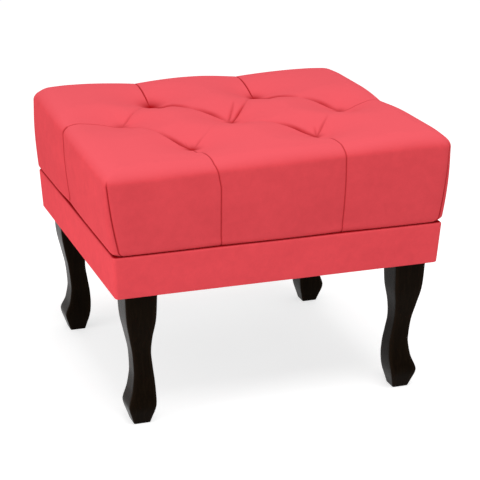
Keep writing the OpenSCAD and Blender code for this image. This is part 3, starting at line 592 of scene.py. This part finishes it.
def smooth(outline, z):
    """Value of a smooth curve through the outline's points at height z."""
    heights, values = np.array(outline).T
    k = min(max(np.searchsorted(heights, z) - 1, 0), len(heights) - 2)

    def slope(i):
        low, high = max(i - 1, 0), min(i + 1, len(heights) - 1)
        return (values[high] - values[low]) / (heights[high] - heights[low])

    h = heights[k + 1] - heights[k]
    t = (z - heights[k]) / h
    return (values[k] * (2 * t**3 - 3 * t**2 + 1) + slope(k) * h * (t**3 - 2 * t**2 + t)
            + values[k + 1] * (3 * t**2 - 2 * t**3) + slope(k + 1) * h * (t**3 - t**2))


def leg(name, sign_x, sign_y):
    heights = np.concatenate([[0, 0.0003, SOLE_EASE], np.linspace(0.003, LEG_H, LEG_LEVELS)])
    rings, edges = [], []
    for z in heights:
        lip = SOLE_EASE * (1 - math.sqrt(1 - (1 - min(z, SOLE_EASE) / SOLE_EASE) ** 2))
        out, inn = smooth(OUTER_FACE, z) - lip, smooth(INNER_FACE, z) - lip
        half, middle = (out + inn) / 2, (out - inn) / 2
        path = rounded_path(half, half, LEG_EASE, LEG_ALONG, LEG_ROUND)
        edges.append(groove((half - np.abs(path)).max(1), RUBBED))
        rings.append(np.column_stack([path + middle, np.full(len(path), z)]))
    count = len(rings[0])
    hole = BOLT_D / 2 + BORE_CLEAR
    angles = np.arctan2(rings[-1][:, 1], rings[-1][:, 0])
    circle = hole * np.column_stack([np.cos(angles), np.sin(angles)])
    for z in (LEG_H, LEG_H - BOLT_IN_LEG - BORE_CLEAR):
        rings.append(np.column_stack([circle, np.full(count, z)]))
        edges.append(np.zeros(count))
    points = np.concatenate(rings)
    edge = np.concatenate(edges)
    faces = [tuple(range(count - 1, -1, -1))]
    for m in range(len(rings) - 1):
        for p in range(count):
            q = (p + 1) % count
            faces.append((m * count + p, m * count + q, (m + 1) * count + q, (m + 1) * count + p))
    top = (len(rings) - 1) * count
    faces.append(tuple(top + p for p in range(count)))
    points = points * [sign_x, sign_y, 1] + [sign_x * LEG_X, sign_y * LEG_Y, 0]
    if sign_x * sign_y < 0:
        faces = [f[::-1] for f in faces]
    piece = add_mesh(name, points, faces)
    point_attribute(piece, "edge", edge)
    sharpen(piece, 40)
    return piece


# Dust cover
# Cell of the cloth's grid, clearance of its holes, where it starts to hang beside hems and
# legs and over what run, how far it hangs, and its unevenness
CLOTH_CELL, HOLE_CLEAR, HEM_CLEAR, HEM_EASE = 0.006, 0.0003, 0.004, 0.05
LEG_CLEAR, LEG_REACH, SAG, PULLS = 0.003, 0.03, 0.0022, 0.0007


def dust_sheet():
    half_x, half_y = HALF - DUST_IN
    hole = BOLT_D / 2 + HOLE_CLEAR

    def lines(half, leg_at):
        fixed = np.array([leg_at - hole, leg_at + hole])
        even = np.linspace(-half, half, int(round(2 * half / CLOTH_CELL)) + 1)
        keep = even[np.abs(np.abs(even) - leg_at) > hole + 0.002]
        return np.sort(np.concatenate([keep, fixed, -fixed]))

    xs, ys = lines(half_x, LEG_X), lines(half_y, LEG_Y)
    gx, gy = np.meshgrid(xs, ys)
    plan = np.column_stack([gx.ravel(), gy.ravel()])
    # Between legs and hems the cloth hangs a little and shows soft pull lines
    inside = np.clip((HALF - HEM_W - HEM_CLEAR - np.abs(plan)) / HEM_EASE, 0, 1).min(1)
    at_leg = np.abs(np.abs(plan) - [LEG_X, LEG_Y]).max(1)
    free = eased(inside * np.clip((at_leg - HALF_TOP - LEG_CLEAR) / LEG_REACH, 0, 1))
    flat3 = np.column_stack([plan * 0.7, np.zeros(len(plan))])
    sag = free * (SAG + np.abs(wander(flat3, PULLS, 11)))
    low = np.column_stack([plan, LEG_H - sag])
    high = low + [0, 0, DUST_T]
    points = np.concatenate([low, high])
    count = len(plan)
    nx, ny = len(xs), len(ys)
    cells = []
    for j in range(ny - 1):
        for i in range(nx - 1):
            cx, cy = (xs[i] + xs[i + 1]) / 2, (ys[j] + ys[j + 1]) / 2
            if abs(abs(cx) - LEG_X) < hole and abs(abs(cy) - LEG_Y) < hole:
                continue
            a = j * nx + i
            cells.append((a, a + 1, a + nx + 1, a + nx))
    faces = [c[::-1] for c in cells] + [tuple(v + count for v in c) for c in cells]
    sides = dict.fromkeys((c[k], c[(k + 1) % 4]) for c in cells for k in range(4))
    for a, b in sides:
        if (b, a) not in sides:
            faces.append((a, b, b + count, a + count))
    piece = add_mesh("dust_cloth", points, faces)
    sharpen(piece, 50)
    return piece


# Materials
class Nodes:
    """A node tree with small helpers to wire it."""

    def __init__(self, tree):
        self.nodes = tree.nodes
        self.links = tree.links

    def add(self, kind, **values):
        node = self.nodes.new(kind)
        for key, value in values.items():
            setattr(node, key, value)
        return node

    def link(self, source, target):
        self.links.new(source, target)

    def feed(self, socket, value):
        """Give a socket a number or a colour, or link an output to it."""
        if isinstance(value, (int, float)):
            socket.default_value = value
        elif isinstance(value, tuple):
            socket.default_value = (*value, 1)
        else:
            self.link(value, socket)

    def ramp(self, value, low, high, first, last):
        node = self.add("ShaderNodeMapRange")
        node.inputs["From Min"].default_value = low
        node.inputs["From Max"].default_value = high
        node.inputs["To Min"].default_value = first
        node.inputs["To Max"].default_value = last
        self.link(value, node.inputs["Value"])
        return node.outputs["Result"]

    def math(self, operation, a, b):
        node = self.add("ShaderNodeMath", operation=operation)
        self.feed(node.inputs[0], a)
        self.feed(node.inputs[1], b)
        return node.outputs[0]

    def mix(self, factor, first, second):
        node = self.add("ShaderNodeMix", data_type="RGBA")
        for name, value in (("Factor", factor), ("A", first), ("B", second)):
            self.feed(node.inputs[name], value)
        return node.outputs["Result"]

    def seen(self):
        """One for rays from the camera, straight, mirrored or through glass."""
        path = self.add("ShaderNodeLightPath")
        seen = self.math("MAXIMUM", path.outputs["Is Camera Ray"], path.outputs["Is Glossy Ray"])
        return self.math("MAXIMUM", seen, path.outputs["Is Transmission Ray"])


class Finish(Nodes):
    """A procedural material on the object's own coordinates."""

    def __init__(self, name):
        self.material = bpy.data.materials.new(name)
        self.material.use_nodes = True
        super().__init__(self.material.node_tree)
        self.bsdf = self.nodes["Principled BSDF"]
        self.place = self.add("ShaderNodeTexCoord").outputs["Object"]

    def scaled(self, scale):
        mapping = self.add("ShaderNodeMapping")
        mapping.inputs["Scale"].default_value = scale
        self.link(self.place, mapping.inputs["Vector"])
        return mapping.outputs["Vector"]

    def noise(self, scale, detail=2.0, roughness=0.5, distortion=0.0, vector=None):
        node = self.add("ShaderNodeTexNoise")
        node.inputs["Scale"].default_value = scale
        node.inputs["Detail"].default_value = detail
        node.inputs["Roughness"].default_value = roughness
        node.inputs["Distortion"].default_value = distortion
        self.link(vector or self.place, node.inputs["Vector"])
        return node.outputs["Fac"]

    def blend(self, first, share, second):
        """Two values added, the first by its share and the second by the rest."""
        return self.math("ADD", self.math("MULTIPLY", first, share),
                         self.math("MULTIPLY", second, round(1 - share, 3)))

    def attribute(self, name):
        return self.add("ShaderNodeAttribute", attribute_name=name).outputs["Fac"]

    def bump(self, height, strength, distance, before=None):
        node = self.add("ShaderNodeBump")
        node.inputs["Strength"].default_value = strength
        node.inputs["Distance"].default_value = distance
        self.link(height, node.inputs["Height"])
        if before:
            self.link(before, node.inputs["Normal"])
        return node.outputs["Normal"]

    def set(self, **values):
        for name, value in values.items():
            self.feed(self.bsdf.inputs[name.replace("_", " ")], value)


def suede(name, painted_light_lift):
    """Coral suede; its second argument lifts the colour a little, which is painted light."""
    f = Finish(name)
    slow = f.noise(14, 3, 0.55)
    cloud = f.noise(70, 3, 0.6, 0.4)
    nap = f.noise(420, 2, 0.6)
    fibre = f.noise(2600, 1, 0.5)
    blend = f.math("ADD", f.math("MULTIPLY", slow, 0.45), f.math("MULTIPLY", cloud, 0.40))
    blend = f.math("ADD", blend, f.math("MULTIPLY", nap, 0.15))
    dark, light = (0.79, 0.074, 0.090), (0.87, 0.084, 0.101)
    # A lift above one makes the colour paler, as painted light
    dark, light = (tuple(painted_light_lift * value for value in colour) for colour in (dark, light))
    base = f.mix(f.ramp(blend, 0.36, 0.64, 0, 1), dark, light)
    # Painted sheen: the colour turns paler where the surface faces up, standing in for the white
    # surroundings reflected on the top
    level = f.add("ShaderNodeSeparateXYZ")
    f.link(f.add("ShaderNodeNewGeometry").outputs["Normal"], level.inputs["Vector"])
    base = f.mix(f.ramp(level.outputs["Z"], 0.3, 0.9, 0, 1), base, (0.82, 0.104, 0.126))
    # Painted shade: the colour turns deep red where seams, folds, tufts, slits and the crease lie
    # in shadow
    colour = f.mix(f.attribute("seam"), base, (0.36, 0.001, 0.003))
    rough = f.ramp(cloud, 0.3, 0.7, 0.58, 0.72)
    soft = f.bump(nap, 0.22, 0.0006)
    normal = f.bump(fibre, 0.30, 0.00025, soft)
    f.set(Base_Color=colour, Roughness=rough, Normal=normal, Specular_IOR_Level=0.0,
          Sheen_Weight=0.04, Sheen_Roughness=0.40, Sheen_Tint=(1.0, 0.62, 0.66))
    return f.material


def dark_wood():
    f = Finish("wenge_lacquer")
    along = f.scaled((1.0, 1.0, 0.09))
    grain = f.noise(260, 4, 0.62, 0.6, along)
    pore = f.noise(900, 2, 0.5, 0.0, f.scaled((1.0, 1.0, 0.035)))
    dark, light, rubbed = (0.0034, 0.0020, 0.0012), (0.0074, 0.0042, 0.0022), (0.030, 0.018, 0.011)
    tone = f.mix(f.ramp(grain, 0.35, 0.68, 0, 1), dark, light)
    colour = f.mix(f.math("MULTIPLY", f.attribute("edge"), 0.25), tone, rubbed)
    rough = f.ramp(grain, 0.3, 0.7, 0.22, 0.30)
    normal = f.bump(pore, 0.05, 0.0003)
    f.set(Base_Color=colour, Roughness=rough, Normal=normal,
          Specular_IOR_Level=0.030, Specular_Tint=(1.0, 0.76, 0.54))
    return f.material


def plain_wood(name, dark, light, scale):
    f = Finish(name)
    rings = f.add("ShaderNodeTexWave", wave_type="RINGS", rings_direction="X")
    rings.inputs["Scale"].default_value = 3.0
    rings.inputs["Distortion"].default_value = 5.0
    rings.inputs["Detail"].default_value = 3.0
    f.link(f.scaled(scale), rings.inputs["Vector"])
    streak = f.noise(90, 3, 0.6, 0.0, f.scaled(scale))
    blend = f.blend(rings.outputs["Fac"], 0.6, streak)
    f.set(Base_Color=f.mix(blend, dark, light), Roughness=f.ramp(streak, 0.3, 0.7, 0.55, 0.72),
          Normal=f.bump(streak, 0.2, 0.0004))
    return f.material


def plywood():
    f = Finish("plywood")
    layers = f.add("ShaderNodeTexWave", wave_type="BANDS", bands_direction="Z")
    layers.inputs["Scale"].default_value = 130.0
    layers.inputs["Distortion"].default_value = 0.6
    f.link(f.place, layers.inputs["Vector"])
    face = f.noise(60, 3, 0.6, 0.0, f.scaled((1.0, 0.08, 1.0)))
    blend = f.blend(layers.outputs["Fac"], 0.4, face)
    f.set(Base_Color=f.mix(blend, (0.36, 0.22, 0.11), (0.62, 0.45, 0.27)),
          Roughness=f.ramp(face, 0.3, 0.7, 0.6, 0.75), Normal=f.bump(face, 0.2, 0.0004))
    return f.material


def nonwoven():
    f = Finish("black_nonwoven")
    cells = f.add("ShaderNodeTexVoronoi", feature="DISTANCE_TO_EDGE")
    cells.inputs["Scale"].default_value = 700.0
    f.link(f.place, cells.inputs["Vector"])
    fibres = f.noise(1500, 3, 0.7)
    slow = f.noise(25, 2)
    blend = f.blend(fibres, 0.6, slow)
    height = f.math("ADD", cells.outputs["Distance"], f.math("MULTIPLY", fibres, 0.3))
    f.set(Base_Color=f.mix(blend, (0.010, 0.010, 0.012), (0.032, 0.032, 0.036)),
          Roughness=f.ramp(fibres, 0.3, 0.7, 0.78, 0.92), Normal=f.bump(height, 0.5, 0.0004))
    return f.material


def metal(name, dark, light, rough):
    f = Finish(name)
    brushed = f.noise(900, 3, 0.6, 0.0, f.scaled((1.0, 1.0, 0.15)))
    dull = f.noise(120, 3, 0.6)
    blend = f.blend(brushed, 0.5, dull)
    f.set(Base_Color=f.mix(blend, dark, light), Metallic=1.0,
          Roughness=f.ramp(dull, 0.3, 0.7, rough, rough + 0.14),
          Normal=f.bump(brushed, 0.1, 0.0002))
    return f.material


def twine():
    f = Finish("waxed_twine")
    twist = f.add("ShaderNodeTexWave", wave_type="BANDS", bands_direction="DIAGONAL")
    twist.inputs["Scale"].default_value = 260.0
    f.link(f.place, twist.inputs["Vector"])
    fuzz = f.noise(1400, 2)
    strands = twist.outputs["Fac"]
    tone = f.mix(f.math("MULTIPLY", strands, fuzz), (0.34, 0.27, 0.18), (0.66, 0.58, 0.44))
    f.set(Base_Color=tone, Roughness=f.ramp(fuzz, 0.3, 0.7, 0.7, 0.85),
          Normal=f.bump(strands, 0.5, 0.0003))
    return f.material


def washer_fibre():
    f = Finish("washer_fibreboard")
    flecks = f.noise(800, 3, 0.7)
    f.set(Base_Color=f.mix(flecks, (0.030, 0.026, 0.024), (0.110, 0.095, 0.085)),
          Roughness=f.ramp(flecks, 0.3, 0.7, 0.6, 0.8), Normal=f.bump(flecks, 0.4, 0.0003))
    return f.material


def dress(piece, finish):
    if not piece.material_slots:
        piece.data.materials.append(finish)
    for slot in piece.material_slots:
        slot.material = finish


# Pieces
red = suede("coral_suede", 1.0)
wood = dark_wood()
CORNERS = {
    "front_left": (-1, -1), "front_right": (1, -1), "back_left": (-1, 1), "back_right": (1, 1)}

seat = cushion()
dress(seat, red)
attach(seat, "root")
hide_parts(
    *[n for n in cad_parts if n.startswith("seat_cover_")], "seat_wadding", "seat_foam")

wall = band()
# The band's suede is a copy lifted paler, painted light for the brighter light on the band
dress(wall, suede("coral_suede_band_painted_light", 1.08))
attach(wall, "root")
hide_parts("band_cover", "band_padding")

for corner, (sx, sy) in CORNERS.items():
    post = leg("shaped_leg_" + corner, sx, sy)
    dress(post, wood)
    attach(post, "root")
    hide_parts("leg_" + corner)

dust = dust_sheet()
dress(dust, nonwoven())
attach(dust, "root")
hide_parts("dust_cover")

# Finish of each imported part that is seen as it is, by the start of its name
FINISHES = {
    "rail_": plain_wood(
        "pine_rails", (0.42, 0.24, 0.11), (0.66, 0.46, 0.26), (0.25, 1.0, 1.0)),
    "cross_rail_": plain_wood(
        "pine_cross_rails", (0.40, 0.23, 0.10), (0.64, 0.44, 0.25), (1.0, 0.25, 1.0)),
    "corner_block_": plain_wood(
        "pine_blocks", (0.38, 0.22, 0.10), (0.62, 0.42, 0.22), (1.0, 1.0, 0.3)),
    "hanger_bolt_": metal("zinc_bolt", (0.46, 0.46, 0.48), (0.66, 0.66, 0.68), 0.30),
    "tee_nut_": metal("zinc_nut", (0.40, 0.40, 0.42), (0.60, 0.60, 0.62), 0.34),
    "seat_board": plywood(),
    "tuft_tie_": twine(),
    "tuft_washer_": washer_fibre(),
    "frame_screws": metal("zinc_screw", (0.45, 0.44, 0.42), (0.64, 0.63, 0.60), 0.32),
    "dust_staples": metal("steel_staple", (0.42, 0.42, 0.44), (0.62, 0.62, 0.64), 0.28),
}
FINISHES["block_screws"] = FINISHES["deck_screws"] = FINISHES["frame_screws"]
FINISHES["cover_staples"] = FINISHES["dust_staples"]
for name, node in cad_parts.items():
    for start, finish in FINISHES.items():
        if name.startswith(start):
            dress(node, finish)


# Stage
FLOOR_HALF = 6.0
# Level of the surroundings as they light the scene, and where the lamps point
SKY_LEVEL, AIM = 0.44, (0, 0, 0.3)


def stage_material(name, seen_colour, bounced_colour, lift):
    """Diffuse, with a white lift that only the camera sees.

    The floor stays pale with it and keeps its shadow.
    """
    f = Finish(name)
    f.nodes.remove(f.bsdf)
    seen = f.seen()
    diffuse = f.add("ShaderNodeBsdfDiffuse")
    f.link(f.mix(seen, bounced_colour, seen_colour), diffuse.inputs["Color"])
    glow = f.add("ShaderNodeEmission")
    glow.inputs["Color"].default_value = (1, 1, 1, 1)
    f.link(f.math("MULTIPLY", seen, lift), glow.inputs["Strength"])
    both = f.add("ShaderNodeAddShader")
    f.link(diffuse.outputs[0], both.inputs[0])
    f.link(glow.outputs[0], both.inputs[1])
    f.link(both.outputs[0], f.nodes["Material Output"].inputs["Surface"])
    return f.material


plan = [(FLOOR_HALF * x, FLOOR_HALF * y, 0) for x, y in ((-1, -1), (1, -1), (1, 1), (-1, 1))]
floor = add_mesh("floor", plan, [(0, 1, 2, 3)], False)
dress(floor, stage_material("pale_floor", (0.66, 0.66, 0.66), (0.90, 0.90, 0.90), 0.66))

world = bpy.data.worlds.new("studio")
bpy.context.scene.world = world
world.use_nodes = True
sky = Nodes(world.node_tree)
background = sky.nodes["Background"]
background.inputs["Color"].default_value = (1, 1, 1, 1)
sky.link(sky.ramp(sky.seen(), 0, 1, SKY_LEVEL, 1), background.inputs["Strength"])


def put(name, data, turn, place):
    """Add a lamp or camera at a place, with the columns of turn as its axes."""
    thing = bpy.data.objects.new(name, data)
    thing.matrix_world = Matrix([[*turn[k], place[k]] for k in range(3)] + [[0, 0, 0, 1]])
    bpy.context.scene.collection.objects.link(thing)
    return thing


def lamp(name, place, size, power):
    data = bpy.data.lights.new(name, "AREA")
    data.size = size
    data.energy = power
    back = np.array(place, float) - np.array(AIM, float)
    back /= np.linalg.norm(back)
    side = np.cross([0, 0, 1], back)
    side /= np.linalg.norm(side)
    put(name, data, np.column_stack([side, np.cross(back, side), back]), place)


lamp("key", (0.1, -0.8, 2.7), 1.8, 44)
lamp("fill", (-1.6, -0.3, 0.6), 1.0, 7)

# Camera, as measured on the photograph: its turn in degrees, focal length and width in pixels
YAW, PITCH, ROLL = map(math.radians, (-19.436, 19.391, 0.365))
PLACE, FOCAL_PX, PHOTO_PX = (-0.8334, -2.4039, 1.0902), 1712.4, 480
back = np.array(
    [math.sin(YAW) * math.cos(PITCH), -math.cos(YAW) * math.cos(PITCH), math.sin(PITCH)])
level = np.array([math.cos(YAW), math.sin(YAW), 0])
upright = np.cross(back, level)
right = math.cos(ROLL) * level + math.sin(ROLL) * upright
up = math.cos(ROLL) * upright - math.sin(ROLL) * level
lens = bpy.data.cameras.new("camera")
lens.sensor_width = 36
lens.lens = FOCAL_PX * lens.sensor_width / PHOTO_PX
lens.clip_start = 0.05
camera = put("camera", lens, np.column_stack([right, up, back]), PLACE)
bpy.context.scene.camera = camera
bpy.context.scene.view_settings.view_transform = "Standard"
